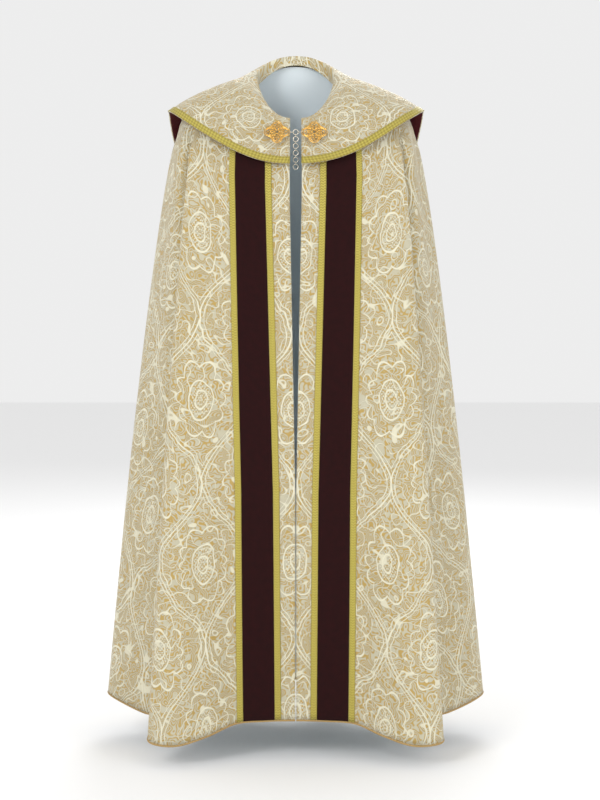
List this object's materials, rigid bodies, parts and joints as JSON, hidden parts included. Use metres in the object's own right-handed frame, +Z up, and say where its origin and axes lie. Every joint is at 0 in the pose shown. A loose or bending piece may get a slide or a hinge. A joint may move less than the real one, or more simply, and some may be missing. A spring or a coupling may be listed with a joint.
{
  "type": "cope vestment",
  "caption": "Floor-length hollow cope with a round cape collar, two dark bands down the open front, a pierced double clasp and a short hanging chain.",
  "frame": {"origin": "between the wearer's shoulders, level with the sides of the neck opening", "axes": "+Z up, -Y towards the front of the garment, +X towards the wearer's left"},
  "size_m": [0.8834, 0.539, 1.5454],
  "materials": {
    "brocade": "satin",
    "velvet": "matte",
    "braid": "satin",
    "piping": "satin",
    "pale_lining": "satin",
    "crimson_lining": "satin",
    "gilt": "polished",
    "silver": "polished"
  },
  "bodies": {
    "garment": {"front_left": "brocade", "front_right": "brocade", "back": "brocade", "back_lining": "pale_lining", "braid_inner_left": "braid", "velvet_left": "velvet", "braid_outer_left": "braid", "braid_inner_right": "braid", "velvet_right": "velvet", "braid_outer_right": "braid", "piping_left": "piping", "piping_back": "piping", "piping_right": "piping", "collar": "brocade", "collar_braid": "braid", "collar_lining": "crimson_lining", "clasp_plate_right": "gilt", "clasp_plate_left": "gilt", "clasp_ring": "silver", "clasp_loop_right": "silver", "clasp_loop_left": "silver"},
    "chain": {"chain_link_1": "silver", "chain_ring_1": "silver", "chain_link_2": "silver", "chain_ring_2": "silver", "chain_link_3": "silver", "chain_ring_3": "silver", "chain_link_4": "silver", "chain_ring_4": "silver", "chain_link_5": "silver", "chain_ring_5": "silver"}
  },
  "joints": [
    {"name": "chain_swing", "type": "hinge", "parent": "garment", "child": "chain", "pos_m": [0, -0.1466, -0.0988], "axis": [-1, 0, 0], "range_deg": [-20, 50]}
  ]
}
